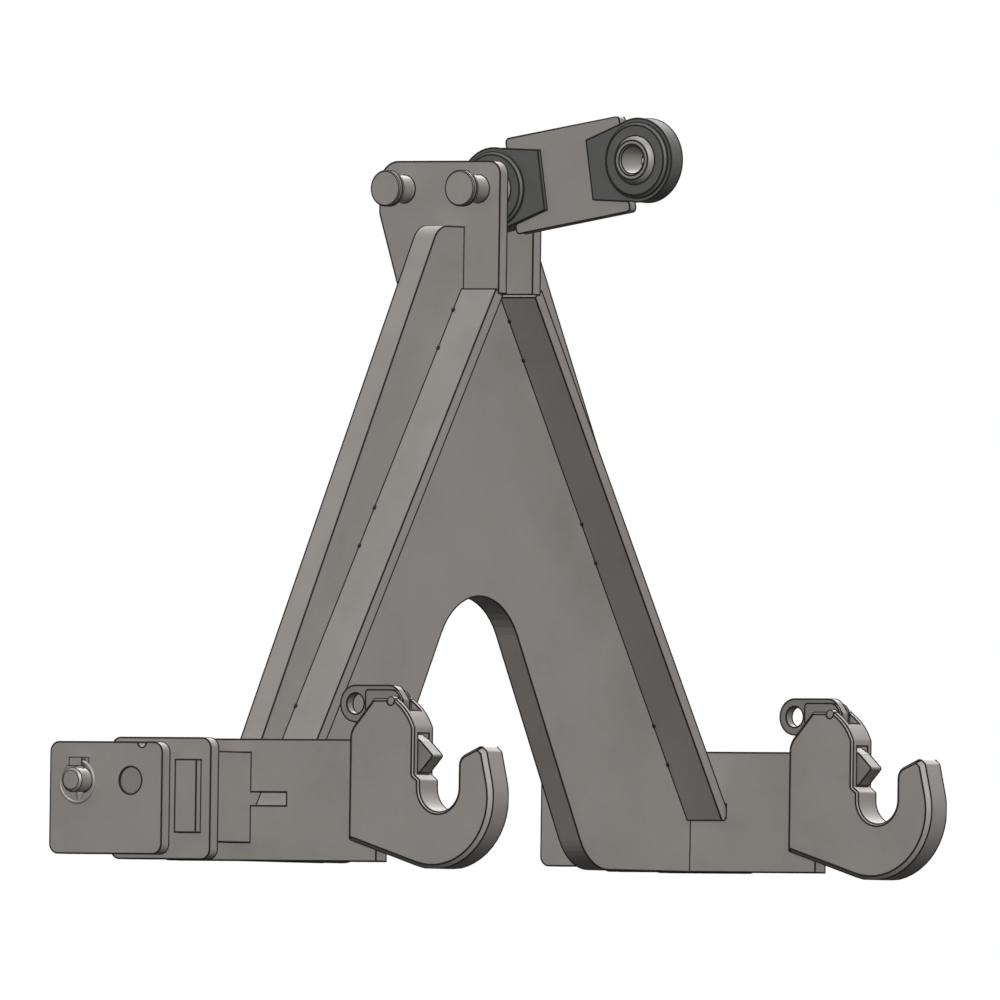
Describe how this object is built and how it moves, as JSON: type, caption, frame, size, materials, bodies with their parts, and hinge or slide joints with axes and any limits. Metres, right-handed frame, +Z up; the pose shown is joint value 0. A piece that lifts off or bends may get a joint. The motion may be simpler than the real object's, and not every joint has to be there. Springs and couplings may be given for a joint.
{
  "type": "three-point adapter frame",
  "caption": "A-shaped steel adapter frame with latching lower hooks, a pinned top link with ball eyes, and a rear mast and clevises for a three-point implement.",
  "frame": {"origin": "centre of the footprint, level with the hooks' lowest point", "axes": "+X across the frame, to the side of the upper pins' clips; -Y to the hooks' open side, where the tractor is; +Z up"},
  "size_m": [1.1596, 0.5532, 0.8776],
  "materials": {
    "plate_steel": "plain grey hot-rolled plate with flame-cut edges",
    "bar_steel": "sawn end of a plain grey bar",
    "latch_steel": "plain grey forged latch and lever",
    "eye_steel": "dark forged weld-on eyes",
    "ball_steel": "turned bare steel balls",
    "pin_steel": "turned bare steel pins and clips"
  },
  "bodies": {
    "frame": {"main_plate": "plate_steel", "mast_plate_left": "plate_steel", "mast_plate_right": "plate_steel", "flange_left": "plate_steel", "flange_right": "plate_steel", "arm_left": "plate_steel", "arm_right": "plate_steel", "outer_plate_left": "plate_steel", "outer_plate_right": "plate_steel", "outer_cheek_left": "plate_steel", "outer_cheek_right": "plate_steel", "inner_cheek_left": "plate_steel", "inner_cheek_right": "plate_steel", "spacer_bar_left": "bar_steel", "spacer_bar_right": "bar_steel", "hook_left": "plate_steel", "hook_right": "plate_steel", "latch_pivot_left": "pin_steel", "latch_pivot_right": "pin_steel", "latch_spring_left": "pin_steel", "latch_spring_right": "pin_steel"},
    "captive_ball": {"captive_ball": "ball_steel"},
    "top_link": {"link_plate": "plate_steel", "captive_eye": "eye_steel", "free_eye": "eye_steel"},
    "free_ball": {"free_ball": "ball_steel"},
    "latch_left": {"latch_left": "latch_steel", "release_lever_left": "latch_steel"},
    "latch_right": {"latch_right": "latch_steel", "release_lever_right": "latch_steel"},
    "upper_pin_front": {"upper_pin_front": "pin_steel"},
    "upper_linch_front": {"upper_linch_front": "pin_steel"},
    "upper_ring_front": {"upper_ring_front": "pin_steel"},
    "upper_pin_rear": {"upper_pin_rear": "pin_steel"},
    "upper_linch_rear": {"upper_linch_rear": "pin_steel"},
    "upper_ring_rear": {"upper_ring_rear": "pin_steel"},
    "lower_pin_left": {"lower_pin_left": "pin_steel"},
    "lower_linch_left": {"lower_linch_left": "pin_steel"},
    "lower_ring_left": {"lower_ring_left": "pin_steel"},
    "lower_pin_right": {"lower_pin_right": "pin_steel"},
    "lower_linch_right": {"lower_linch_right": "pin_steel"},
    "lower_ring_right": {"lower_ring_right": "pin_steel"}
  },
  "joints": [
    {"name": "top_link_swing", "type": "hinge", "parent": "frame", "child": "captive_ball", "pos_m": [0, 0.0533, 0.79309], "axis": [1, 0, 0], "range_deg": [-90, 55]},
    {"name": "top_link_sway", "type": "hinge", "parent": "captive_ball", "child": "top_link", "pos_m": [0, 0.0533, 0.79309], "axis": [0, 0.1616, 0.9869], "range_deg": [-9, 9]},
    {"name": "free_ball_swivel", "type": "hinge", "parent": "top_link", "child": "free_ball", "pos_m": [0, -0.15176, 0.82667], "axis": [0, 0.1616, 0.9869], "range_deg": [-12, 12]},
    {"name": "latch_left_release", "type": "hinge", "parent": "frame", "child": "latch_left", "pos_m": [-0.435, -0.1324, 0.19259], "axis": [1, 0, 0], "range_deg": [0, 18], "stiffness_Nm_per_rad": 4, "deforming": ["latch_spring_left"]},
    {"name": "latch_right_release", "type": "hinge", "parent": "frame", "child": "latch_right", "pos_m": [0.435, -0.1324, 0.19259], "axis": [1, 0, 0], "range_deg": [0, 18], "stiffness_Nm_per_rad": 4, "deforming": ["latch_spring_right"]},
    {"name": "upper_pin_front_turn", "type": "hinge", "parent": "frame", "child": "upper_pin_front", "pos_m": [0.0466, 0.0533, 0.79309], "axis": [1, 0, 0], "continuous": true},
    {"name": "upper_linch_front_lift", "type": "slide", "parent": "upper_pin_front", "child": "upper_linch_front", "axis": [0, 0, 1], "range_m": [0, 0.009]},
    {"name": "upper_ring_front_flip", "type": "hinge", "parent": "upper_linch_front", "child": "upper_ring_front", "pos_m": [0.0512, 0.0533, 0.81607], "axis": [0, -1, 0], "range_deg": [0, 100]},
    {"name": "upper_pin_rear_turn", "type": "hinge", "parent": "frame", "child": "upper_pin_rear", "pos_m": [0.0466, 0.1596, 0.79309], "axis": [1, 0, 0], "continuous": true},
    {"name": "upper_linch_rear_lift", "type": "slide", "parent": "upper_pin_rear", "child": "upper_linch_rear", "axis": [0, 0, 1], "range_m": [0, 0.009]},
    {"name": "upper_ring_rear_flip", "type": "hinge", "parent": "upper_linch_rear", "child": "upper_ring_rear", "pos_m": [0.0512, 0.1596, 0.81607], "axis": [0, -1, 0], "range_deg": [0, 100]},
    {"name": "lower_pin_left_turn", "type": "hinge", "parent": "frame", "child": "lower_pin_left", "pos_m": [-0.5628, 0.23081, 0.09809], "axis": [1, 0, 0], "continuous": true},
    {"name": "lower_linch_left_lift", "type": "slide", "parent": "lower_pin_left", "child": "lower_linch_left", "axis": [0, 0, 1], "range_m": [0, 0.009]},
    {"name": "lower_ring_left_flip", "type": "hinge", "parent": "lower_linch_left", "child": "lower_ring_left", "pos_m": [-0.5674, 0.23081, 0.11919], "axis": [0, 1, 0], "range_deg": [0, 100]},
    {"name": "lower_pin_right_turn", "type": "hinge", "parent": "frame", "child": "lower_pin_right", "pos_m": [0.5628, 0.23081, 0.09809], "axis": [1, 0, 0], "continuous": true},
    {"name": "lower_linch_right_lift", "type": "slide", "parent": "lower_pin_right", "child": "lower_linch_right", "axis": [0, 0, 1], "range_m": [0, 0.009]},
    {"name": "lower_ring_right_flip", "type": "hinge", "parent": "lower_linch_right", "child": "lower_ring_right", "pos_m": [0.5674, 0.23081, 0.11919], "axis": [0, -1, 0], "range_deg": [0, 100]}
  ]
}
